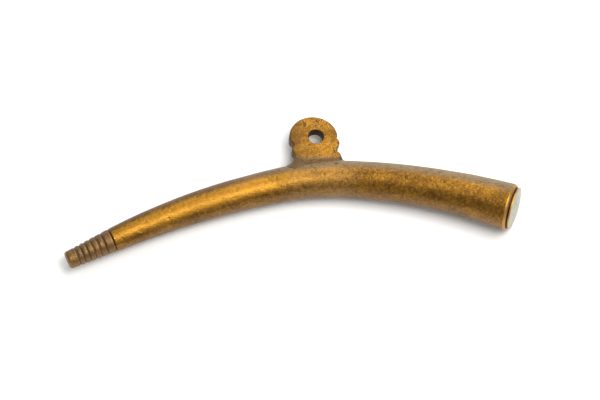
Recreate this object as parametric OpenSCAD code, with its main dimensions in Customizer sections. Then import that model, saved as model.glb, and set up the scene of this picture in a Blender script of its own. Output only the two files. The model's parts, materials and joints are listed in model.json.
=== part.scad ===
// Horn-shaped brass shutter dog. A heavy, curved horn hangs from a lobed lug and swings on a pin
// through the lug's bore, so that its ribbed finger stands up and holds a window shutter open.
//
// The origin is the middle of the bore and +Z is the bore's axis, away from the wall. +Y runs from
// the horn to the bore, and +X towards the horn's thick end. Sizes are in millimetres.

/* [Horn] */
// Centreline length from the lug to the thick end of the shell
butt_reach = 70; // [66:0.5:76]
// Centreline length from the lug to the blunt end of the finger
finger_reach = 94.8; // [90:0.2:100]
// Radius of the sharper bend under the lug
bend_r = 97; // [80:1:120]
// Length of that bend to each side of the lug
bend_reach = 14.4; // [10:0.2:18]
// Radius of the gentle curve of the thick arm
butt_arm_r = 213; // [180:1:260]
// Radius of the gentle curve of the thin arm
finger_arm_r = 255; // [220:1:320]
// Straight length at the end of the thin arm
finger_straight = 18; // [18:0.5:24]
// Outer radius at the thick end
butt_r = 8.55; // [8.3:0.05:9]
// Outer radius under the lug
waist_r = 6.5; // [6.2:0.05:6.9]
// Outer radius where the finger starts
finger_r = 4.3; // [4.2:0.05:4.6]
// Outer radius at the blunt end of the finger
tip_r = 3.15; // [3:0.05:3.5]
// Thickness of the shell's wall
wall = 1.4; // [1.2:0.1:1.6]
// Distance from the bore's axis down to the horn's centreline
drop = 16.3; // [15.8:0.1:17.2]
// Angle between the horn's plane and the lug: the thick end stands off the wall
cant = 7; // [0:0.5:9]

/* [Lug] */
// Radius of the bore for the pivot pin
bore_r = 2.75; // [2.5:0.05:3.1]
// Thickness of the plate
lug_t = 4.5; // [4:0.1:5]
// Radius of the round head
head_r = 8.2; // [7.8:0.1:8.6]
// How far the head's centre sits off the bore, away from the thick end
head_shift = 0.3; // [0:0.1:0.5]
// Radius of each side lobe
lobe_r = 2.3; // [2:0.1:2.5]
// Half width of the neck under the lobes
neck_half = 7; // [6.6:0.1:7.3]
// Half width of the foot towards the thin arm
foot_finger = 7.2; // [7:0.1:8]
// Half width of the foot towards the thick arm
foot_butt = 8.4; // [8.2:0.1:8.8]
// Fillet between the foot and the thin arm
fillet_finger = 3.4; // [2:0.1:3.6]
// Fillet between the foot and the thick arm
fillet_butt = 1.6; // [1:0.1:2.2]

/* [Finger] */
// Length of the turned finger
finger_len = 17.6; // [17:0.1:18]
// Number of grooves round the finger, the last one at its joint with the shell
groove_count = 7; // [5:1:7]
// Distance between grooves
groove_pitch = 2.15; // [2:0.05:2.2]
// Depth of a groove
groove_depth = 0.45; // [0.3:0.05:0.55]
// Radius of the rounded edge of the blunt end
tip_round = 1; // [0.6:0.1:1.4]
// Length of the finger's spigot inside the shell
finger_spigot = 8; // [6:0.5:10]

/* [End cap] */
// Radius of the cap's rim
cap_r = 7.7; // [7.5:0.05:7.9]
// Thickness of the rim
cap_rim = 0.8; // [0.6:0.1:1]
// Height of the domed face over the rim
dome_h = 1.1; // [0.8:0.1:1.4]
// Width of the groove between the cap and the shell
cap_gap = 0.6; // [0.4:0.1:0.8]
// Length of the cap's spigot inside the shell
cap_spigot = 5; // [4:0.5:7]

/* [Counterweight] */
// Distance from the lug to the near end of the poured lead
lead_start = 16; // [14:1:30]

/* [Hidden] */

deg = 180 / PI;               // degrees in a radian
finger_arm = finger_reach - bend_reach - finger_straight;
butt_arm = butt_reach;        // more than enough, so the thick arm curves to its very end
finger_joint = -(finger_reach - finger_len);
shell_sides = 36;             // sides round the outer surface
core_sides = 24;              // sides round the cavity
ring_step = 4;                // centreline length between rings
end_chamfer = 0.8;            // chamfer round the thick end of the shell
joint_chamfer = 0.3;          // chamfer at the finger joint
cap_spigot_r = butt_r - wall - 0.6;
finger_spigot_r = finger_r - 1.35;
core_start = finger_joint + finger_spigot - 1;   // the cavity overlaps each socket a little
core_end = butt_reach - cap_spigot + 1;
lead_end = butt_reach - cap_spigot;
tongue = 1.2;                 // how far the lug's foot goes in past the shell's wall
toe_h = 0.15;                 // height of each foot fillet's outer end over the horn
$fn = 96;

// ---- centreline of the horn ----

// Stations along the centreline are lengths from the lug, negative towards the finger. In the
// horn's own plane, a point d along one arm is [distance from the lug, height, angle turned down].
function arm(d, arm_r, arm_len) =
    let (in_bend = min(d, bend_reach),
         in_arm = max(0, min(d - bend_reach, arm_len)),
         beyond = max(0, d - bend_reach - arm_len),
         turn_bend = in_bend / bend_r * deg,
         turn = turn_bend + in_arm / arm_r * deg)
    [bend_r * sin(turn_bend) + arm_r * (sin(turn) - sin(turn_bend)) + beyond * cos(turn),
     -bend_r * (1 - cos(turn_bend)) - arm_r * (cos(turn_bend) - cos(turn)) - beyond * sin(turn),
     turn];

// The same with its sign: [x, y, heading in degrees], measured from the point under the lug
function station(s) =
    let (a = s < 0 ? arm(-s, finger_arm_r, finger_arm) : arm(s, butt_arm_r, butt_arm))
    s < 0 ? [-a[0], a[1], a[2]] : [a[0], a[1], -a[2]];

// Outer radius: the cubic through the four radii, so that the taper steepens at both ends
known_s = [-finger_reach, finger_joint, 0, butt_reach];
known_r = [tip_r, finger_r, waist_r, butt_r];
function weight(s, i) =
    let (f = [for (j = [0 : 3]) j == i ? 1 : (s - known_s[j]) / (known_s[i] - known_s[j])])
    f[0] * f[1] * f[2] * f[3];
function outer_r(s) =
    let (f = [for (i = [0 : 3]) known_r[i] * weight(s, i)])
    f[0] + f[1] + f[2] + f[3];

// ---- helpers ----

// Puts children drawn in the horn's own plane at its place under the lug
module horn_plane() {
    translate([0, -drop, 0])
        rotate([0, -cant, 0])
            children();
}

// Stands children with their +Z along the centreline at station s, towards the thick end
module at_station(s) {
    p = station(s);
    horn_plane()
        translate([p[0], p[1], 0])
            rotate([0, 0, p[2]])
                rotate([0, 90, 0])
                    children();
}

// One ring of points square to the centreline
function ring(s, r, sides) =
    let (p = station(s))
    [for (i = [0 : sides - 1])
        let (a = 360 * i / sides)
        [p[0] - r * cos(a) * sin(p[2]), p[1] + r * cos(a) * cos(p[2]), r * sin(a)]];

// A closed tube through rings of [station, radius]
module sweep(rings, sides) {
    n = len(rings);
    points = [for (q = rings) each ring(q[0], q[1], sides)];
    skin = [for (j = [0 : n - 2]) for (i = [0 : sides - 1])
        let (k = (i + 1) % sides, lower = j * sides, upper = lower + sides)
        each [[lower + i, upper + i, upper + k], [lower + i, upper + k, lower + k]]];
    first = [for (i = [0 : sides - 1]) i];
    last = [for (i = [sides - 1 : -1 : 0]) (n - 1) * sides + i];
    horn_plane()
        polyhedron(points, concat(skin, [first], [last]), convexity = 4);
}

// Stations from a to b, no further apart than ring_step
function stations(a, b) =
    let (n = ceil((b - a) / ring_step))
    [for (i = [0 : n]) a + (b - a) * i / n];

// ---- the horn ----

// The whole outer surface, with a chamfer at each end
module horn_blank() {
    body = [for (s = stations(finger_joint + joint_chamfer, butt_reach - end_chamfer))
        [s, outer_r(s)]];
    sweep(concat(
        [[finger_joint, outer_r(finger_joint) - joint_chamfer]],
        body,
        [[butt_reach, outer_r(butt_reach) - end_chamfer]]), shell_sides);
}

// The hollow between the two sockets, or the stretch of it from a to b, with a gap to the wall
module core(a, b, gap = 0) {
    sweep([for (s = stations(a, b)) [s, outer_r(s) - wall - gap]], core_sides);
}

// Curved tapering shell, with a socket at each end and a slot for the lug's foot
module horn_shell() {
    over = 1;   // cutters pass the end faces by this much
    color("darkgoldenrod")
        difference() {
            horn_blank();
            core(core_start, core_end);
            at_station(finger_joint)
                translate([0, 0, -over])
                    cylinder(r = finger_spigot_r, h = finger_spigot + over);
            at_station(butt_reach)
                translate([0, 0, -cap_spigot])
                    cylinder(r = cap_spigot_r, h = cap_spigot + over);
            lug_blank();
        }
}

// ---- the finger ----

// Turned finger: a tapering row of beads between round-bottomed grooves, a blunt rounded end and a
// spigot for the shell. Its profile runs along +Z from the blunt end.
module grip_tip() {
    groove_r = 0.42 * groove_pitch;
    function side_r(z) = outer_r(z - finger_reach);
    color("peru")
        at_station(-finger_reach)
            union() {
                difference() {
                    rotate_extrude()
                        polygon(concat(
                            [[0, 0]],
                            [for (a = [0 : 15 : 90])
                                [side_r(tip_round) - tip_round + tip_round * sin(a),
                                 tip_round - tip_round * cos(a)]],
                            [for (z = [tip_round + 2 : 3 : finger_len - 1]) [side_r(z), z]],
                            [[side_r(finger_len), finger_len], [0, finger_len]]));
                    for (i = [0 : groove_count - 1])
                        let (z = finger_len - i * groove_pitch)
                        translate([0, 0, z])
                            rotate_extrude()
                                translate([side_r(z) - groove_depth + groove_r, 0])
                                    circle(r = groove_r, $fn = 32);
                }
                translate([0, 0, finger_len - 1])
                    cylinder(r = finger_spigot_r, h = finger_spigot + 1);
            }
}

// ---- the lug ----

// Half of the lug's outline on the side of sign dir, with that side's foot and fillet
module lug_side(dir, foot_half, fillet) {
    lobe_y = -2.6;
    foot_y = -7.9;
    shoulder_r = 2.4;
    notch_y = -0.5;
    notch_r = 0.5;
    deep = drop - waist_r + wall + tongue;
    toe_x = foot_half + fillet;
    toe_y = station(dir * toe_x)[1] - drop + outer_r(dir * toe_x) + toe_h;
    scale([dir, 1])
        union() {
            difference() {
                translate([0, lobe_y])
                    square([neck_half, -lobe_y]);
                translate([head_r, notch_y])
                    circle(r = notch_r, $fn = 32);
            }
            translate([neck_half - lobe_r + 1.25, lobe_y])
                circle(r = lobe_r);
            translate([0, -deep])
                square([neck_half, deep]);
            translate([foot_half - shoulder_r, foot_y])
                circle(r = shoulder_r);
            translate([0, -deep])
                square([foot_half, deep + foot_y]);
            difference() {
                translate([foot_half - 0.1, -deep])
                    square([fillet + 0.1, deep + toe_y + fillet]);
                translate([toe_x, toe_y + fillet])
                    circle(r = fillet);
            }
        }
}

// The lug without its bore, which also cuts the slot in the shell
module lug_blank() {
    translate([0, 0, -lug_t / 2])
        linear_extrude(lug_t)
            union() {
                translate([-head_shift, 0])
                    circle(r = head_r);
                lug_side(-1, foot_finger, fillet_finger);
                lug_side(1, foot_butt, fillet_butt);
            }
}

// Lobed plate with the bore for the pivot pin, its foot let into the shell
module pivot_lug() {
    color("goldenrod")
        difference() {
            lug_blank();
            translate([0, 0, -lug_t])
                cylinder(r = bore_r, h = 2 * lug_t);
        }
}

// ---- the end cap and the weight ----

// Turned cap: a spigot in the shell, a groove, a thin rim and a slightly domed face
module butt_cap() {
    dome_r = (cap_r * cap_r + dome_h * dome_h) / (2 * dome_h);
    neck_r = cap_spigot_r - 0.3;
    face_z = cap_gap + cap_rim;
    color("darkkhaki")
        at_station(butt_reach)
            union() {
                translate([0, 0, -cap_spigot])
                    cylinder(r = cap_spigot_r, h = cap_spigot);
                cylinder(r = neck_r, h = cap_gap + cap_rim / 2);
                translate([0, 0, cap_gap])
                    cylinder(r = cap_r, h = cap_rim);
                intersection() {
                    translate([0, 0, face_z + dome_h - dome_r])
                        sphere(r = dome_r, $fn = 160);
                    translate([0, 0, face_z - cap_rim / 2])
                        cylinder(r = cap_r, h = dome_h + cap_rim);
                }
            }
}

// Lead poured into the thick arm behind the cap
module counterweight() {
    color("slategray")
        core(lead_start, lead_end, 0.05);
}

horn_shell();
grip_tip();
pivot_lug();
butt_cap();
counterweight();
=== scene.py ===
"""Looks of the brass shutter dog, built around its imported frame.

Shapes are worked out in millimetres and become metres where a mesh is made. The horn's formulas
are the design's own: a centreline of arcs, and a radius that is a cubic through four radii.
"""

import json
import math
from types import SimpleNamespace

import bpy
import numpy as np
from mathutils import Matrix, Vector


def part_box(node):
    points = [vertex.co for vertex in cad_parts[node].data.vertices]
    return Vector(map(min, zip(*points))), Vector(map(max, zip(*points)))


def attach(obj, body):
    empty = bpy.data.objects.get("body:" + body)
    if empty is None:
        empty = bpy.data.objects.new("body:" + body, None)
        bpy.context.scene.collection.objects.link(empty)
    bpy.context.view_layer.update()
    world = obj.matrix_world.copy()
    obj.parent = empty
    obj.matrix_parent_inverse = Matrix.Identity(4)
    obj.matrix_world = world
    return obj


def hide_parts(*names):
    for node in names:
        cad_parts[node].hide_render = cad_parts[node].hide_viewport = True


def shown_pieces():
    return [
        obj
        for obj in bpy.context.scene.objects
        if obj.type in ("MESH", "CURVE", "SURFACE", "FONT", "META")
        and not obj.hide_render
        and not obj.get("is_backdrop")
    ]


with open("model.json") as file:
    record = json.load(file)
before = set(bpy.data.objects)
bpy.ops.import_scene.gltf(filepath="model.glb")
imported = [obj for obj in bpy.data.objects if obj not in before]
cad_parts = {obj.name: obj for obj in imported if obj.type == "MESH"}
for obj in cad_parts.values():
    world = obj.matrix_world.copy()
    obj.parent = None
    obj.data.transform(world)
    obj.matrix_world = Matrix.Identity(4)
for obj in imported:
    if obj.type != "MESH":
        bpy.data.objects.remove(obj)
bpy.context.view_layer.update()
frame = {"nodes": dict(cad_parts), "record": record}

MM = 0.001

# ---- the design's sizes, in millimetres ----

BORE = next(m for m in frame["record"]["mounts"] if m["name"] == "pivot_bore")
BORE_R = BORE["dims"]["r_mm"]
LUG_T = BORE["dims"]["length_mm"]

BUTT_REACH = 70.0          # centreline length from the lug to the thick end of the shell
FINGER_REACH = 94.8        # and to the blunt end of the finger
FINGER_LEN = 17.6          # length of the turned finger
FINGER_STRAIGHT = 18.0     # straight length at the end of the thin arm
BEND_R, BEND_REACH = 97.0, 14.4
BUTT_ARM_R, FINGER_ARM_R = 213.0, 255.0
DROP = 16.3                # from the bore's axis down to the centreline
CANT = math.radians(7.0)   # lean of the horn's plane out of the lug's
JOINT = FINGER_LEN - FINGER_REACH    # station where the finger meets the shell
KNOWN_S = (-FINGER_REACH, JOINT, 0.0, BUTT_REACH)
KNOWN_R = (3.15, 4.3, 6.5, 8.55)
CAP_R, CAP_RIM, CAP_GAP, DOME_H = 7.7, 0.8, 0.6, 1.1
CAP_BACK = CAP_GAP * 0.8   # from the shell's end to the back of the cap's rim

END_LEAN = 0.075           # the thick end is cut this much off square, towards the front
LEAN_RUN = 10.0            # over this last length of the shell

HORN_X = np.array([math.cos(CANT), 0.0, math.sin(CANT)])    # the horn plane's own axes
HORN_Y = np.array([0.0, 1.0, 0.0])
HORN_Z = np.array([-math.sin(CANT), 0.0, math.cos(CANT)])
UNDER_LUG = np.array([0.0, -DROP, 0.0])

# Distances of the hand-cut grooves from the blunt end, and how deep each is
GROOVES = ((3.9, 0.26), (5.9, 0.34), (7.9, 0.30), (10.0, 0.36), (12.1, 0.30), (14.5, 0.34))
GROOVE_HALF = 0.62         # half the width of a groove

# ---- centreline and radius ----

def arm(d, arm_r, arm_len):
    """Distance out, height and angle turned down, a length d along one arm from the lug."""
    in_bend = np.minimum(d, BEND_REACH)
    in_arm = np.clip(d - BEND_REACH, 0, arm_len)
    beyond = np.maximum(0, d - BEND_REACH - arm_len)
    bent = in_bend / BEND_R
    turn = bent + in_arm / arm_r
    out = BEND_R * np.sin(bent) + arm_r * (np.sin(turn) - np.sin(bent)) + beyond * np.cos(turn)
    down = BEND_R * (1 - np.cos(bent)) + arm_r * (np.cos(bent) - np.cos(turn)) + beyond * np.sin(turn)
    return out, -down, turn


def station(s):
    """x, y and heading in the horn's plane at length s, negative towards the finger."""
    s = np.asarray(s, float)
    thin = arm(np.maximum(-s, 0), FINGER_ARM_R, FINGER_REACH - BEND_REACH - FINGER_STRAIGHT)
    thick = arm(np.maximum(s, 0), BUTT_ARM_R, BUTT_REACH * 2)
    return (np.where(s < 0, -thin[0], thick[0]), np.where(s < 0, thin[1], thick[1]),
            np.where(s < 0, thin[2], -thick[2]))


def outer_r(s):
    """Outer radius at length s."""
    s = np.asarray(s, float)
    total = np.zeros_like(s)
    for i, si in enumerate(KNOWN_S):
        term = np.full_like(s, KNOWN_R[i])
        for j, sj in enumerate(KNOWN_S):
            if j != i:
                term = term * (s - sj) / (si - sj)
        total = total + term
    return total


def in_row(x, y, z):
    """Points given in the horn's plane, in the row frame."""
    return UNDER_LUG + x[..., None] * HORN_X + y[..., None] * HORN_Y + z[..., None] * HORN_Z


# ---- noise ----

def lattice(cells, seed):
    """A steady pseudo-random number from 0 to 1 for each whole-numbered cell."""
    n = cells.astype(np.int64)
    h = n[..., 0] * 374761393 + n[..., 1] * 668265263 + n[..., 2] * 2147483647 + seed * 1274126177
    h = (h ^ (h >> 13)) * 1103515245
    h = h ^ (h >> 16)
    return (h & 0xFFFFFF) / float(0xFFFFFF)


def noise(points, size, seed):
    """Smooth noise from -1 to 1 with features about size millimetres across."""
    p = points / size + 1000.0
    cell = np.floor(p)
    f = p - cell
    f = f * f * (3 - 2 * f)
    total = 0
    for corner in range(8):
        step = np.array([corner & 1, corner >> 1 & 1, corner >> 2 & 1])
        share = np.prod(np.where(step == 1, f, 1 - f), axis=-1)
        total = total + share * lattice(cell + step, seed)
    return total * 2 - 1


def cast_skin(points, seed):
    """Height of the uneven cast and rubbed surface, in millimetres."""
    return (0.055 * noise(points, 9.0, seed) + 0.028 * noise(points, 3.2, seed + 1)
            + 0.012 * noise(points, 1.1, seed + 2))


def pits(points, count, deepest, seed, centres):
    """Depth of small round pits at random places picked from centres."""
    rng = np.random.default_rng(seed)
    depth = np.zeros(len(points))
    for centre in centres[rng.integers(0, len(centres), count)]:
        size = rng.uniform(0.25, 0.8)
        near = np.abs(points - centre).max(axis=1) < size
        d2 = ((points[near] - centre) ** 2).sum(axis=1) / (size * size)
        depth[near] += rng.uniform(0.3, 1) * deepest * np.clip(1 - d2, 0, 1) ** 2
    return np.minimum(depth, deepest)


# ---- making meshes ----

def make_piece(name, points, faces, material, node, slot):
    """A smooth mesh piece, from points in millimetres, that stands for a frame node."""
    mesh = bpy.data.meshes.new(name)
    mesh.from_pydata((points * MM).tolist(), [], faces)
    mesh.validate()
    mesh.shade_smooth()
    mesh.materials.append(material)
    piece = bpy.data.objects.new(name, mesh)
    bpy.context.scene.collection.objects.link(piece)
    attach(piece, "root")
    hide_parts(node)
    return piece


def swept(profile, sides, relief):
    """Points and faces of a closed body of revolution bent along the centreline.

    profile is rows of [station, radius] whose first and last lie on the axis, and relief gives
    how far each point stands proud along its normal.
    """
    s, r = profile[:, 0], profile[:, 1]
    x, y, turn = station(s)
    angle = np.linspace(0, 2 * math.pi, sides, endpoint=False)
    ca, sa = np.cos(angle)[None, :], np.sin(angle)[None, :]
    rr = r[:, None]
    lean = END_LEAN * np.clip((s - BUTT_REACH + LEAN_RUN) / LEAN_RUN, 0, 1)[:, None] * rr * sa
    rows = in_row(x[:, None] - rr * ca * np.sin(turn)[:, None] - lean * np.cos(turn)[:, None],
                  y[:, None] + rr * ca * np.cos(turn)[:, None] - lean * np.sin(turn)[:, None],
                  rr * sa)
    step_s, step_r = np.gradient(s), np.gradient(r)
    length = np.hypot(step_s, step_r) + 1e-9
    out, along = (step_s / length)[:, None], (-step_r / length)[:, None]
    axis_x, axis_y = np.cos(turn)[:, None], np.sin(turn)[:, None]
    normal = ((-ca * axis_y * out + axis_x * along)[..., None] * HORN_X
              + (ca * axis_x * out + axis_y * along)[..., None] * HORN_Y
              + (sa * out)[..., None] * HORN_Z)
    smooth = rows.reshape(-1, 3)
    lift = relief(smooth, np.repeat(s, sides), np.tile(angle, len(s)))
    rings = (smooth + normal.reshape(-1, 3) * lift[:, None]).reshape(-1, sides, 3)
    ends = rings[[0, -1]].mean(axis=1)
    walls = rings[1:-1].reshape(-1, 3)
    points = np.vstack([walls, ends])
    first, last = len(walls), len(walls) + 1
    top = len(walls) - sides
    j, i = np.meshgrid(np.arange(len(rings) - 3), np.arange(sides), indexing="ij")
    a, b = j * sides + i, j * sides + (i + 1) % sides
    quads = np.stack([a, b, b + sides, a + sides], axis=-1).reshape(-1, 4)
    fans = [(first, (q + 1) % sides, q) for q in range(sides)]
    fans += [(last, top + q, top + (q + 1) % sides) for q in range(sides)]
    return points, quads.tolist() + fans


def rounded(corners, radii, steps=6):
    """A profile through corners with each inner corner rounded."""
    corners = np.array(corners, float)
    line = [corners[0]]
    for before, here, after, r in zip(corners, corners[1:], corners[2:], radii):
        to_before = (before - here) / np.linalg.norm(before - here)
        to_after = (after - here) / np.linalg.norm(after - here)
        start, end = here + to_before * r, here + to_after * r
        for t in np.linspace(0, 1, steps):
            line.append((1 - t) ** 2 * start + 2 * t * (1 - t) * here + t * t * end)
    line.append(corners[-1])
    return np.array(line)


def spaced(profile, gap):
    """The same profile with points no further apart than gap."""
    out = [profile[0]]
    for a, b in zip(profile, profile[1:]):
        parts = math.ceil(np.linalg.norm(b - a) / gap)
        out += [a + (b - a) * (k + 1) / parts for k in range(parts)]
    return np.array(out)


def surface_net(field, low, high, step):
    """Points and quads of the surface where field is 0, on a grid; field is negative inside."""
    axes = [np.arange(a, b + step, step) for a, b in zip(low, high)]
    grid = np.stack(np.meshgrid(*axes, indexing="ij"), axis=-1)
    value = field(grid)
    inside = value < 0
    shape = np.array(value.shape) - 1
    total = np.zeros((*shape, 3))
    hits = np.zeros(shape)
    corners = [(i, j, k) for i in (0, 1) for j in (0, 1) for k in (0, 1)]

    def part(a, c):
        return a[c[0]:c[0] + shape[0], c[1]:c[1] + shape[1], c[2]:c[2] + shape[2]]

    for c in corners:
        for axis in range(3):
            if c[axis] == 0:
                d = tuple(1 if q == axis else c[q] for q in range(3))
                va, vb = part(value, c), part(value, d)
                cross = (va < 0) != (vb < 0)
                t = np.where(cross, va / np.where(cross, va - vb, 1), 0)
                point = part(grid, c) + t[..., None] * (part(grid, d) - part(grid, c))
                total += np.where(cross[..., None], point, 0)
                hits += cross
    active = hits > 0
    number = np.full(shape, -1)
    number[active] = np.arange(active.sum())
    points = total[active] / hits[active][:, None]
    quads = []
    for axis in range(3):
        u, v = (axis + 1) % 3, (axis + 2) % 3
        near = [slice(1, -1)] * 3
        near[axis] = slice(0, -1)
        far = list(near)
        far[axis] = slice(1, None)
        a, b = inside[tuple(near)], inside[tuple(far)]
        cells = np.argwhere(a != b)
        out = a[a != b]
        cells[:, [q for q in range(3) if q != axis]] += 1
        ring = []
        for du, dv in ((1, 1), (0, 1), (0, 0), (1, 0)):
            q = cells.copy()
            q[:, u] -= du
            q[:, v] -= dv
            ring.append(number[q[:, 0], q[:, 1], q[:, 2]])
        ring = np.stack(ring, axis=1)
        quads.append(np.where(out[:, None], ring, ring[:, ::-1]))
    return points, np.vstack(quads)


def settle_on(points, field, passes=3):
    """Moves points along the field's slope until they lie on its surface."""
    h = 0.01
    for _ in range(passes):
        slope = np.stack([(field(points + h * e) - field(points - h * e)) / (2 * h)
                          for e in np.eye(3)], axis=-1)
        size = np.maximum((slope ** 2).sum(axis=-1), 0.05)
        points = points - (field(points) / size)[:, None] * slope
    return points


# ---- material nodes ----

class Shade:
    """A small helper that builds one node material."""

    def __init__(self, name):
        self.material = bpy.data.materials.new(name)
        self.material.use_nodes = True
        self.tree = self.material.node_tree
        self.bsdf = self.tree.nodes["Principled BSDF"]
        self.place = self.node("ShaderNodeTexCoord").outputs["Object"]

    def node(self, kind, **settings):
        made = self.tree.nodes.new(kind)
        for key, value in settings.items():
            setattr(made, key, value)
        return made

    def link(self, source, target):
        self.tree.links.new(source, target)

    def grain(self, size_mm, detail=4.0, rough=0.6, stretch=(1, 1, 1), distortion=0.0):
        """Noise from 0 to 1 with features of about size_mm."""
        mapping = self.node("ShaderNodeMapping")
        mapping.inputs["Scale"].default_value = stretch
        self.link(self.place, mapping.inputs["Vector"])
        n = self.node("ShaderNodeTexNoise")
        n.inputs["Scale"].default_value = 1 / (size_mm * MM)
        n.inputs["Detail"].default_value = detail
        n.inputs["Roughness"].default_value = rough
        n.inputs["Distortion"].default_value = distortion
        self.link(mapping.outputs["Vector"], n.inputs["Vector"])
        return n.outputs["Fac"]

    def ramp(self, source, low, high, to_low=0.0, to_high=1.0):
        """Stretches source from low..high to to_low..to_high, clamped, with soft ends."""
        m = self.node("ShaderNodeMapRange", interpolation_type="SMOOTHSTEP")
        m.inputs["From Min"].default_value = low
        m.inputs["From Max"].default_value = high
        m.inputs["To Min"].default_value = to_low
        m.inputs["To Max"].default_value = to_high
        self.link(source, m.inputs["Value"])
        return m.outputs["Result"]

    def math(self, operation, a, b=None):
        m = self.node("ShaderNodeMath", operation=operation)
        for socket, value in zip(m.inputs, (a, b)):
            if value is None:
                continue
            if isinstance(value, (int, float)):
                socket.default_value = value
            else:
                self.link(value, socket)
        return m.outputs[0]

    def mix(self, share, a, b, blend="MIX"):
        """Mixes two colours, given as sockets or as tuples."""
        m = self.node("ShaderNodeMix", data_type="RGBA", blend_type=blend)
        for socket, value in ((m.inputs[0], share), (m.inputs[6], a), (m.inputs[7], b)):
            if isinstance(value, (int, float)):
                socket.default_value = value
            elif isinstance(value, tuple):
                socket.default_value = (*value, 1)
            else:
                self.link(value, socket)
        return m.outputs[2]

    def facing(self, direction):
        """How far the surface faces a fixed direction of the object, from -1 to 1."""
        geometry = self.node("ShaderNodeNewGeometry")
        dot = self.node("ShaderNodeVectorMath", operation="DOT_PRODUCT")
        self.link(geometry.outputs["Normal"], dot.inputs[0])
        dot.inputs[1].default_value = direction
        return dot.outputs["Value"]

    def past(self, start, lean=0.0):
        """Distance past station start in metres, along the centreline there or leaning off it."""
        x, y, turn = (float(v) for v in station(start))
        axis = math.cos(turn) * HORN_X + math.sin(turn) * HORN_Y + lean * HORN_Z
        dot = self.node("ShaderNodeVectorMath", operation="DOT_PRODUCT")
        self.link(self.place, dot.inputs[0])
        dot.inputs[1].default_value = tuple(axis)
        here = in_row(np.array(x), np.array(y), np.array(0.0)) * MM
        return self.math("SUBTRACT", dot.outputs["Value"], float(here @ axis))

    def bump(self, height, distance_mm, strength=1.0, before=None):
        b = self.node("ShaderNodeBump")
        b.inputs["Strength"].default_value = strength
        b.inputs["Distance"].default_value = distance_mm * MM
        self.link(height, b.inputs["Height"])
        if before is not None:
            self.link(before, b.inputs["Normal"])
        return b.outputs["Normal"]

    def done(self, colour, roughness, metallic, normal):
        self.link(colour, self.bsdf.inputs["Base Color"])
        for socket, value in (("Roughness", roughness), ("Metallic", metallic)):
            if isinstance(value, (int, float)):
                self.bsdf.inputs[socket].default_value = value
            else:
                self.link(value, self.bsdf.inputs[socket])
        self.link(normal, self.bsdf.inputs["Normal"])
        return self.material


# Directions that the horn's sides face: the top, with a painted reflection of the pale
# surroundings; the front, with hand wear and a painted highlight; the underside, with a
# painted reflection of the floor
TOPSIDE = (0.0, 0.93, 0.37)
FRONT = (0.10, -0.16, 0.98)
UNDERSIDE = (0.0, -0.90, -0.43)

GOLD = (0.410, 0.195, 0.024)     # rubbed brass
HONEY = (0.240, 0.112, 0.016)    # brass under a thin old lacquer
UMBER = (0.072, 0.036, 0.010)    # brown patina
SOOT_AND_SHADE = (0.015, 0.010, 0.008)     # dirt in pits and specks; painted shade in the finger's grooves, the gap at the cap, and the lug's bore and side wall
FLECK = (0.520, 0.250, 0.034)    # bright grains where the patina has worn through, and bright worn edges; at the thick end's edge also a painted highlight
DUST_AND_REFLECTION = (0.285, 0.205, 0.115)     # grey-brown film on the top side, round the foot and mostly on the thick arm, its colour a painted reflection of the pale surroundings; also a pale band on the end chamfer
DARK_DUST_AND_REFLECTION = (0.105, 0.074, 0.048)  # the same on the thin arm, darker
TAN_AND_FLOOR_REFLECTION = (0.215, 0.145, 0.083)      # painted reflection of the floor along the underside, and dull lacquer on the finger
OXIDE = (0.41, 0.40, 0.315)      # grey-green skin on the end disc
OLD_OXIDE = (0.33, 0.34, 0.285)  # the same, greener and darker
LEAD = (0.20, 0.21, 0.23)
OLD_LEAD = (0.10, 0.105, 0.12)
CARD = (0.94, 0.94, 0.94)        # the floor
BRIGHT_CARD = (0.96, 0.96, 0.96)


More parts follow.
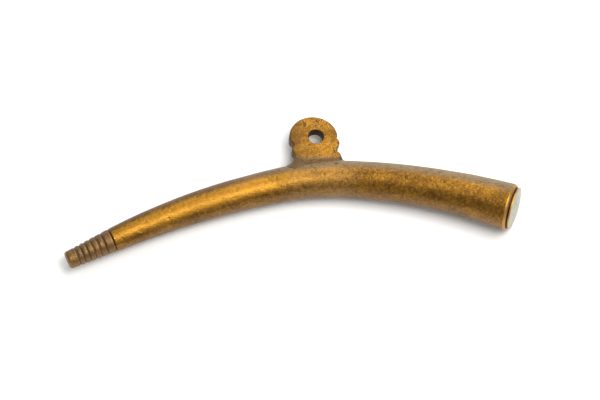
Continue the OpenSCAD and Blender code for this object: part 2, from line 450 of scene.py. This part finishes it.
def aged_brass(name, rubbed=0.5, reflection_film=1.0, specks=1.0, hand_wear_and_highlight=0.0):
    """Old brass: rubbed metal, honey lacquer, brown patina, dark specks and a dull film on top, whose
    colour is a painted reflection of the pale surroundings; a painted reflection of the floor runs
    along the underside.

    rubbed is the share of bright metal, and the hand-wear share adds to it on the front of the thin
    arm: hand wear, and a painted highlight there as well. What comes back is for finish_brass, after
    any dirt, painted shade or colour of a piece's own is added.
    """
    s = Shade(name)
    clouds = s.grain(6.0, detail=7.0, rough=0.68, stretch=(0.6, 1.0, 1.0))
    mottle = s.grain(1.2, detail=6.0, rough=0.75)
    speckle = s.grain(0.45, detail=3.0, rough=0.7)
    flecks = s.grain(0.55, detail=2.0, rough=0.6, distortion=0.3)
    spots = s.grain(2.0, detail=5.0, rough=0.75, distortion=0.6)
    at = s.node("ShaderNodeSeparateXYZ")
    s.link(s.place, at.inputs[0])
    # More bright metal on the thin arm's front: hand wear, and a painted highlight on the side that
    # faces the key light
    front = s.ramp(s.facing(FRONT), 0.72, 0.97)
    wear_and_highlight = s.math("MULTIPLY", s.ramp(at.outputs["X"], 0.025, -0.030, 0.0, hand_wear_and_highlight), front)
    share = s.math("ADD", s.math("MULTIPLY", clouds, 0.45), s.math("MULTIPLY", mottle, 0.55))
    share = s.math("ADD", share, s.math("ADD", wear_and_highlight, rubbed - 0.5))
    gold = s.ramp(share, 0.40, 0.68)
    brown = s.ramp(share, 0.55, 0.33, 0.0, 0.75)
    colour = s.mix(gold, HONEY, GOLD)
    colour = s.mix(brown, colour, UMBER)
    colour = s.mix(s.math("MULTIPLY", s.ramp(flecks, 0.57, 0.70), 0.5), colour, FLECK)
    # Painted reflection of the floor: tan along the underside
    floor_reflection = s.math("MULTIPLY", s.ramp(s.facing(UNDERSIDE), 0.30, 0.85), 0.55)
    colour = s.mix(s.math("MULTIPLY", floor_reflection, s.ramp(mottle, 0.35, 0.6, 0.4, 1.0)), colour, TAN_AND_FLOOR_REFLECTION)
    # A dull grey-brown film on the top side and round the lug's foot, its colour a painted reflection of
    # the pale surroundings
    up = s.ramp(s.facing(TOPSIDE), 0.45, 0.86)
    dust_and_reflection = s.math("MULTIPLY", up, s.ramp(mottle, 0.32, 0.58, 0.35, 1.0))
    thick = s.ramp(at.outputs["X"], -0.060, 0.005)
    dust_and_reflection = s.math("MULTIPLY", dust_and_reflection, s.math("MULTIPLY", s.math("ADD", thick, 1.2), reflection_film / 2.2))
    foot = s.ramp(at.outputs["Y"], -0.0060, -0.0105, 0.0, 0.5)
    near = s.math("MULTIPLY", foot, s.ramp(s.math("ABSOLUTE", at.outputs["X"]), 0.016, 0.008))
    near = s.math("MULTIPLY", near, s.ramp(up, -0.2, 0.4))
    dust_and_reflection = s.math("MAXIMUM", dust_and_reflection, s.math("MULTIPLY", near, s.ramp(mottle, 0.3, 0.6, 0.5, 1.0)))
    colour = s.mix(dust_and_reflection, colour, s.mix(thick, DARK_DUST_AND_REFLECTION, DUST_AND_REFLECTION))
    dark = s.math("MULTIPLY", s.ramp(spots, 0.62, 0.70), 0.75 * specks)
    grit = s.math("MULTIPLY", s.ramp(speckle, 0.54, 0.70), 0.6 * specks)
    dirt_and_shade = s.math("MAXIMUM", dark, grit)
    return SimpleNamespace(shade=s, colour=colour, mottle=mottle, speckle=speckle, gold=gold,
                           dust_and_reflection=dust_and_reflection, dirt_and_shade=dirt_and_shade, at=at)


def finish_brass(brass):
    """Puts the dirt and the painted shade on and sets the sheen and the bumps of an aged brass."""
    s = brass.shade
    colour = s.mix(brass.dirt_and_shade, brass.colour, SOOT_AND_SHADE)
    rough = s.ramp(brass.mottle, 0.3, 0.7, 0.34, 0.46)
    rough = s.math("SUBTRACT", rough, s.math("MULTIPLY", brass.gold, 0.08))
    rough = s.math("ADD", rough, s.math("MULTIPLY", brass.dust_and_reflection, 0.18))
    rough = s.math("ADD", rough, s.math("MULTIPLY", brass.dirt_and_shade, 0.2))
    metallic = s.math("SUBTRACT", 1.0, s.math("MULTIPLY", brass.dust_and_reflection, 0.55))
    metallic = s.math("SUBTRACT", metallic, s.math("MULTIPLY", brass.dirt_and_shade, 0.3))
    scratch = s.grain(0.5, detail=2.0, rough=0.5, stretch=(0.12, 1.6, 1.6), distortion=0.4)
    normal = s.bump(brass.mottle, 0.12, 0.7)
    normal = s.bump(brass.speckle, 0.08, 0.9, normal)
    normal = s.bump(scratch, 0.07, 0.9, normal)
    return s.done(colour, rough, metallic, normal)


# Dark pits in the horn, two by the lug's foot and one on the thick arm: place and radius
DARK_PITS = (((5.9, -12.9, 6.2), 0.55), ((-2.0, -14.3, 6.3), 0.40), ((28.0, -14.8, 9.0), 0.45))


def horn_metal(name):
    """Aged brass with a few dark pits; the thick end has a bright worn edge that is also a painted
    highlight, a pale grey-brown chamfer, and painted shade on the end face in the gap at the cap.
    """
    brass = aged_brass(name, rubbed=0.455, hand_wear_and_highlight=0.18)
    s = brass.shade
    along = s.past(BUTT_REACH, END_LEAN)
    # A bright band at the thick end's edge, worn metal that is also a painted highlight; a pale band on
    # the chamfer
    edge = s.ramp(along, -1.15 * MM, -0.85 * MM, 0.0, 0.85)
    chamfer = s.ramp(along, -0.65 * MM, -0.40 * MM, 0.0, 0.7)
    # Painted shade on the end face, in the gap at the cap
    end_face_shade = s.ramp(along, -0.10 * MM, -0.02 * MM, 0.0, 0.85)
    brass.colour = s.mix(edge, brass.colour, FLECK)
    brass.colour = s.mix(chamfer, brass.colour, DUST_AND_REFLECTION)
    brass.dirt_and_shade = s.math("MULTIPLY", brass.dirt_and_shade, s.math("SUBTRACT", 1.0, edge))
    for place, size in DARK_PITS:
        apart = s.node("ShaderNodeVectorMath", operation="DISTANCE")
        s.link(s.place, apart.inputs[0])
        apart.inputs[1].default_value = [c * MM for c in place]
        pit = s.ramp(apart.outputs["Value"], 1.6 * size * MM, 0.6 * size * MM, 0.0, 0.8)
        brass.dirt_and_shade = s.math("MAXIMUM", brass.dirt_and_shade, pit)
    brass.dirt_and_shade = s.math("MAXIMUM", brass.dirt_and_shade, end_face_shade)
    return finish_brass(brass)


def finger_metal(name):
    """Aged brass with painted shade in the grooves, and a thick dull film on top whose colour is a
    painted reflection.
    """
    brass = aged_brass(name, rubbed=0.42, reflection_film=1.8, specks=1.1)
    s = brass.shade
    dull = s.ramp(brass.mottle, 0.62, 0.42, 0.10, 0.65)
    brass.colour = s.mix(dull, brass.colour, TAN_AND_FLOOR_REFLECTION)
    along = s.past(-FINGER_REACH)
    # Painted shade in each groove
    for place, _ in GROOVES:
        off = s.math("ABSOLUTE", s.math("SUBTRACT", along, place * MM))
        groove_shade = s.ramp(off, 0.34 * MM, 0.06 * MM, 0.0, 0.7)
        brass.dirt_and_shade = s.math("MAXIMUM", brass.dirt_and_shade, groove_shade)
    return finish_brass(brass)


def lug_metal(name):
    """Brighter, speckled brass: dark blots along the head's top and its right side, darker mottling on
    the thin side, painted shadow on the side wall that faces the thin side, and tarnish with painted
    shade in the bore.
    """
    brass = aged_brass(name, rubbed=0.475, reflection_film=0.5, specks=1.8)
    s, at = brass.shade, brass.at
    blots = s.grain(1.3, detail=4.0, rough=0.7, distortion=0.8)
    top = s.ramp(at.outputs["Y"], 0.0015, 0.0055)
    right = s.math("MULTIPLY", s.ramp(at.outputs["X"], 0.0040, 0.0062),
                   s.ramp(at.outputs["Y"], 0.0005, -0.0020))
    blotted = s.math("MULTIPLY", s.math("MAXIMUM", top, right), 0.85)
    blots = s.math("MULTIPLY", s.ramp(blots, 0.50, 0.60), blotted)
    # Painted shadow: the side wall that faces the thin side is darkened
    side = s.ramp(s.facing((-1.0, 0.0, 0.0)), 0.55, 0.95, 0.0, 0.65)
    thin_side = s.math("MULTIPLY", s.ramp(at.outputs["X"], -0.0030, -0.0085, 0.0, 0.5),
                       s.ramp(brass.mottle, 0.36, 0.56))
    # Tarnish and painted shade on the bore's wall
    from_axis = s.math("SQRT", s.math("ADD", s.math("POWER", at.outputs["X"], 2.0),
                                      s.math("POWER", at.outputs["Y"], 2.0)))
    bore = s.ramp(from_axis, 1.10 * BORE_R * MM, 1.02 * BORE_R * MM, 0.0, 0.75)
    for more in (blots, side, thin_side, bore):
        brass.dirt_and_shade = s.math("MAXIMUM", brass.dirt_and_shade, more)
    return finish_brass(brass)


def dull_face(name):
    """The end disc: grey-green oxide over brass, with fine scratches."""
    s = Shade(name)
    clouds = s.grain(3.5, detail=5.0, rough=0.6)
    fine = s.grain(0.6, detail=4.0, rough=0.7)
    oxide = s.mix(s.ramp(clouds, 0.38, 0.62), OXIDE, OLD_OXIDE)
    outward = s.facing(tuple(CAP_AXIS))
    rim = s.ramp(outward, 0.55, 0.93)
    colour = s.mix(rim, FLECK, oxide)
    colour = s.mix(s.math("MULTIPLY", s.ramp(fine, 0.52, 0.70), 0.55), colour, UMBER)
    # Painted shade in the groove between the cap's rim and the shell
    behind = s.ramp(s.past(BUTT_REACH, END_LEAN), (CAP_BACK + 0.10) * MM, CAP_BACK * MM, 0.0, 0.9)
    colour = s.mix(behind, colour, SOOT_AND_SHADE)
    metallic = s.ramp(outward, 0.55, 0.93, 1.0, 0.35)
    rough = s.ramp(fine, 0.3, 0.7, 0.34, 0.5)
    normal = s.bump(clouds, 0.12, 0.4)
    normal = s.bump(fine, 0.03, 0.6, normal)
    return s.done(colour, rough, metallic, normal)


def poured_lead(name):
    """Dull lead with a cast skin."""
    s = Shade(name)
    clouds = s.grain(4.0)
    colour = s.mix(clouds, LEAD, OLD_LEAD)
    return s.done(colour, s.ramp(clouds, 0.3, 0.7, 0.45, 0.65), 0.9, s.bump(clouds, 0.2, 0.4))


def pale_floor(name):
    """Plain pale card."""
    s = Shade(name)
    fibres = s.grain(0.8)
    colour = s.mix(fibres, CARD, BRIGHT_CARD)
    return s.done(colour, 0.9, 0.0, s.bump(fibres, 0.02, 0.2))


_, _, butt_turn = station(BUTT_REACH)
CAP_AXIS = math.cos(butt_turn) * HORN_X + math.sin(butt_turn) * HORN_Y


# ---- the horn ----

HORN_SIDES = 176
TURNED_SIDES = 144               # for the finger and the cap
HORN_GAP = 0.28                  # furthest apart that rings of points may be, in millimetres
FINGER_GAP = 0.12
CAP_STEP = 0.2
LUG_STEP = 0.2                   # of the grid that the lug is netted over


def horn():
    """Hollow-ended curved shell with a worn chamfer at each end."""
    end_chamfer, joint_chamfer = 0.70, 0.32
    socket_r, socket_depth = 7.0, 2.0          # at the thick end
    bore_r, bore_depth = 2.9, 1.2              # at the joint
    tail_start = BUTT_REACH - 2.2
    body = np.arange(JOINT + 1.0, tail_start, 1.0)
    corners = [[JOINT + bore_depth, 0.0], [JOINT + bore_depth, bore_r], [JOINT, bore_r],
               [JOINT, float(outer_r(JOINT)) - joint_chamfer],
               [JOINT + joint_chamfer, float(outer_r(JOINT + joint_chamfer))]]
    start = rounded(corners, [0.2, 0.2, 0.12])
    tail_s = BUTT_REACH - end_chamfer * 1.1
    tail = rounded([[tail_start, float(outer_r(tail_start))],
                    [tail_s, float(outer_r(tail_s))],
                    [BUTT_REACH, float(outer_r(BUTT_REACH)) - end_chamfer],
                    [BUTT_REACH, socket_r],
                    [BUTT_REACH - socket_depth, socket_r],
                    [BUTT_REACH - socket_depth, 0.0]], [0.45, 0.22, 0.2, 0.2])
    middle = np.stack([body, outer_r(body)], axis=1)
    profile = spaced(np.vstack([start, middle, tail]), HORN_GAP)
    x, y, turn = station(body)
    rng = np.random.default_rng(11)
    pick = rng.integers(0, len(body), 700)
    around = rng.uniform(0, 2 * math.pi, len(pick))
    r = outer_r(body)[pick]
    spots = in_row(x[pick] - r * np.cos(around) * np.sin(turn[pick]),
                   y[pick] + r * np.cos(around) * np.cos(turn[pick]), r * np.sin(around))

    def relief(points, s, angle):
        return cast_skin(points, 3) - pits(points, 420, 0.09, 5, spots) - 0.03

    return make_piece("horn_body", *swept(profile, HORN_SIDES, relief), horn_metal("horn_brass"),
                      "horn_shell", "horn_brass")


# ---- the finger ----

def finger():
    """Blunt turned finger with hand-cut grooves, a little uneven all round."""
    tip_round = 1.1
    spigot_r, spigot_len = 2.85, 1.0
    tip_r = float(outer_r(-FINGER_REACH + tip_round))
    face = [[-FINGER_REACH + 0.10, 0.0], [-FINGER_REACH, tip_r * 0.5],
            [-FINGER_REACH + 0.05, tip_r],
            [-FINGER_REACH + 2.6, float(outer_r(-FINGER_REACH + 2.6))]]
    start = rounded(face, [0.6, tip_round])
    body_s = np.arange(-FINGER_REACH + 2.8, JOINT - 0.75, 0.1)
    body = np.stack([body_s, outer_r(body_s)], axis=1)
    last_r = float(outer_r(JOINT))
    end = rounded([body[-1], [JOINT - 0.28, last_r - 0.05], [JOINT - 0.02, last_r - 0.42],
                   [JOINT - 0.02, spigot_r], [JOINT + spigot_len, spigot_r],
                   [JOINT + spigot_len, 0.0]], [0.2, 0.1, 0.1, 0.1])
    profile = spaced(np.vstack([start, body, end]), FINGER_GAP)

    def relief(points, s, angle):
        lift = 0.5 * cast_skin(points, 21)
        along = s + FINGER_REACH
        for k, (place, depth) in enumerate(GROOVES):
            wander = 0.10 * np.sin(angle + 1.7 * k) + 0.06 * np.sin(2 * angle + 2.9 * k)
            off = np.abs(along - place - wander) / GROOVE_HALF
            cut = np.clip(1 - off, 0, 1) ** 1.2
            lift = lift - depth * (1 + 0.2 * np.sin(angle + k)) * cut
        return lift - 0.02

    return make_piece("grip_finger", *swept(profile, TURNED_SIDES, relief), finger_metal("finger_brass"),
                      "grip_tip", "finger_brass")


# ---- the lug ----

def smooth_min(a, b, k):
    """The lower of two fields, blended over k millimetres where they meet."""
    h = np.clip(k - np.abs(a - b), 0, None) / k
    return np.minimum(a, b) - h * h * k / 4


def smooth_max(a, b, k):
    """The higher of two fields, blended over k millimetres where they meet."""
    return -smooth_min(-a, -b, k)


def disc(p, x, y, r):
    """Field of a round bar along Z."""
    return np.hypot(p[..., 0] - x, p[..., 1] - y) - r


def block(p, x0, x1, y0, y1):
    """Field of a square bar along Z."""
    dx = np.abs(p[..., 0] - (x0 + x1) / 2) - (x1 - x0) / 2
    dy = np.abs(p[..., 1] - (y0 + y1) / 2) - (y1 - y0) / 2
    return np.hypot(np.maximum(dx, 0), np.maximum(dy, 0)) + np.minimum(np.maximum(dx, dy), 0)


def horn_field(p):
    """Distance to the horn's surface near the lug, where the centreline is one arc."""
    q = p - UNDER_LUG
    x, y, z = q @ HORN_X, q[..., 1], q @ HORN_Z
    ring = np.hypot(x, y + BEND_R)
    s = np.arctan2(x, y + BEND_R) * BEND_R
    return np.hypot(ring - BEND_R, z) - outer_r(s)


# The lug's outline in millimetres: a round head on a neck, cut by notches between round lobes
HEAD_X, HEAD_HALF_W, HEAD_HALF_H = -0.87, 8.72, 8.0
HEAD_R = 8.2                     # its mean radius
NECK_LEFT, NECK_RIGHT = -8.1, 7.1
NOTCHES = ((8.0, -0.5, 0.65), (-10.5, -3.7, 2.4))    # x, y and radius
LOBES = ((6.05, -2.5, 2.35), (-6.85, -5.0, 2.15))
SHOULDER = (6.2, -7.9, 2.4)      # the lowest lobe on the right
SHOULDER_RIGHT = 8.6
EDGE_R = 0.45                    # radius that wear has put on the edges
FILLET, FILLET_LEFT, FILLET_RIGHT = 3.2, 5.1, 2.8    # blend into the horn: middle and sides

LUG_FOOT = -12.0                 # lowest point of the plate, hidden in the horn
SKIRT = 4.0                      # how far its foot spreads under the horn's skin
SKIRT_DEPTH = 1.1                # and how deep it reaches there
SINK_RUN = 0.8                   # the skirt dives under the skin over its last stretch


def lug_field(p):
    """The lug: a plate with lobes, worn edges and a foot that flows into the horn."""
    head = np.hypot((p[..., 0] - HEAD_X) / HEAD_HALF_W, p[..., 1] / HEAD_HALF_H)
    head = (head - 1) * HEAD_R
    neck = block(p, NECK_LEFT, NECK_RIGHT, LUG_FOOT, 0)
    notches = np.minimum(*(disc(p, *notch) for notch in NOTCHES))
    lobes = np.minimum(*(disc(p, *lobe) for lobe in LOBES))
    shoulder = smooth_min(disc(p, *SHOULDER),
                          block(p, 0, SHOULDER_RIGHT, LUG_FOOT, SHOULDER[1]), 0.3)
    outline = smooth_min(head, neck, 0.3)
    outline = np.maximum(outline, -notches)
    outline = smooth_min(outline, lobes, 0.25)
    outline = smooth_min(outline, shoulder, 0.35) + EDGE_R
    slab = np.abs(p[..., 2]) - LUG_T / 2 + EDGE_R
    plate = (np.hypot(np.maximum(outline, 0), np.maximum(slab, 0))
             + np.minimum(np.maximum(outline, slab), 0) - EDGE_R)
    at_side = np.clip((np.abs(p[..., 0]) - 5) / 2.5, 0, 1)
    side_fillet = np.where(p[..., 0] < 0, FILLET_LEFT, FILLET_RIGHT)
    spread = FILLET + at_side * (side_fillet - FILLET)
    horn_skin = horn_field(p)
    sunk = 0.05 + 0.4 * np.clip(plate - SKIRT + SINK_RUN, 0, SINK_RUN)
    shape = smooth_min(plate, horn_skin + sunk, spread)
    shape = smooth_max(shape, plate - SKIRT, SINK_RUN)
    shape = smooth_max(shape, -(horn_skin + SKIRT_DEPTH), SINK_RUN)
    hole = np.hypot(p[..., 0], p[..., 1]) - BORE_R
    shape = smooth_max(shape, -hole, 0.15)
    return shape + 0.04 * noise(p, 4.0, 31) + 0.02 * noise(p, 1.5, 32) + 0.03


def lug():
    """The plate and its foot, netted over a grid that holds the whole skirt."""
    low, high = [Vector(c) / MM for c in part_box("pivot_lug")]
    grid_low = (low.x - SKIRT - 1.5, LUG_FOOT - SKIRT - 0.5, -LUG_T / 2 - SKIRT - 0.2)
    grid_high = (high.x + SKIRT + 1.0, high.y + 0.6, LUG_T / 2 + SKIRT + 0.2)
    points, quads = surface_net(lug_field, grid_low, grid_high, LUG_STEP)
    points = settle_on(points, lug_field)
    return make_piece("lobed_lug", points, quads.tolist(), lug_metal("lug_brass"),
                      "pivot_lug", "lug_brass")


# ---- the end cap ----

def cap():
    """Turned disc with a bright rim, a groove behind it and a slightly domed face."""
    neck_r, neck_len = 7.1, 1.6
    face_edge = 0.35             # how far the dome's edge is set in and down
    back, rim = BUTT_REACH - neck_len, BUTT_REACH + CAP_BACK
    face = BUTT_REACH + CAP_GAP + CAP_RIM - face_edge
    edge = rounded([[back, 0.0], [back, neck_r], [rim, neck_r], [rim, CAP_R],
                    [face, CAP_R - 0.02]], [0.2, 0.1, 0.22])
    arc = np.linspace(1, 0, 40)[:, None]
    radius = (CAP_R - face_edge) * arc
    height = face + 0.12 + (DOME_H - 0.12) * (1 - arc ** 2)
    dome = np.hstack([height, radius])
    profile = spaced(np.vstack([edge, dome]), CAP_STEP)

    def relief(points, s, angle):
        return 0.8 * cast_skin(points, 41) - 0.05

    return make_piece("end_cap", *swept(profile, TURNED_SIDES, relief), dull_face("cap_brass"),
                      "butt_cap", "cap_brass")


horn()
finger()
lug()
cap()

weight = frame["nodes"]["counterweight"]
weight.data.materials.clear()
weight.data.materials.append(poured_lead("lead"))

# ---- floor, light and camera ----

FLOOR_UP = Vector((-0.102, -0.043, 0.994)).normalized()   # the dog lies on its horn, lug just clear
FLOOR_SIZE = 5.0


def lowest_along(direction):
    """How far the pieces reach against direction."""
    reach = []
    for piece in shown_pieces():
        co = np.empty(len(piece.data.vertices) * 3)
        piece.data.vertices.foreach_get("co", co)
        reach.append((co.reshape(-1, 3) @ np.array(direction)).min())
    return min(reach)


def floor():
    half = FLOOR_SIZE / 2
    mesh = bpy.data.meshes.new("floor")
    mesh.from_pydata([(-half, -half, 0), (half, -half, 0), (half, half, 0), (-half, half, 0)],
                     [], [(0, 1, 2, 3)])
    mesh.materials.append(pale_floor("pale_card"))
    made = bpy.data.objects.new("floor", mesh)
    made.rotation_mode = "QUATERNION"
    made.rotation_quaternion = FLOOR_UP.to_track_quat("Z", "Y")
    made.location = FLOOR_UP * lowest_along(FLOOR_UP)
    bpy.context.scene.collection.objects.link(made)
    made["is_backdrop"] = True


def soft_box(name, place, aim, size, power, colour=(1, 1, 1)):
    """A rectangular soft light at place, turned to aim."""
    data = bpy.data.lights.new(name, "AREA")
    data.shape = "RECTANGLE"
    data.size, data.size_y = size
    data.energy = power
    data.color = colour
    made = bpy.data.objects.new(name, data)
    made.location = place
    made.rotation_mode = "QUATERNION"
    made.rotation_quaternion = (Vector(aim) - Vector(place)).to_track_quat("-Z", "Y")
    bpy.context.scene.collection.objects.link(made)


def studio():
    """Plain soft light: one large box overhead, one weak box behind, and an even grey sky."""
    centre = (0.0, -0.02, 0.0)
    soft_box("key", (0.21, -0.11, 0.77), centre, (0.50, 0.52), 5.8, (1.0, 0.985, 0.96))
    soft_box("back", (0.08, 0.54, 0.58), centre, (0.60, 0.40), 2.7)
    world = bpy.data.worlds.new("studio")
    world.use_nodes = True
    background = world.node_tree.nodes["Background"]
    background.inputs["Color"].default_value = (1.0, 1.0, 1.0, 1)
    background.inputs["Strength"].default_value = 0.53
    bpy.context.scene.world = world
    bpy.context.scene.view_settings.view_transform = "Standard"


def camera():
    """A long lens high over the lug, a little to the finger's side, with the bore above centre."""
    azimuth, elevation, roll = (math.radians(a) for a in (-16.49, 63.71, 13.76))
    distance, lens = 1.008, 168.0
    off_centre = (0.00553, 0.02187)      # where the bore sits from the middle of the view
    back = Vector((math.sin(azimuth) * math.cos(elevation),
                   -math.cos(azimuth) * math.cos(elevation), math.sin(elevation)))
    level = Vector((0, 0, 1)).cross(back).normalized()
    upright = back.cross(level)
    right = level * math.cos(roll) + upright * math.sin(roll)
    up = upright * math.cos(roll) - level * math.sin(roll)
    data = bpy.data.cameras.new("camera")
    data.lens, data.sensor_width = lens, 36.0
    data.clip_start, data.clip_end = 0.05, 20.0
    made = bpy.data.objects.new("camera", data)
    place = back * distance - right * off_centre[0] - up * off_centre[1]
    turn = Matrix((right, up, back)).transposed().to_4x4()
    made.matrix_world = Matrix.Translation(place) @ turn
    bpy.context.scene.collection.objects.link(made)
    bpy.context.scene.camera = made


floor()
studio()
camera()
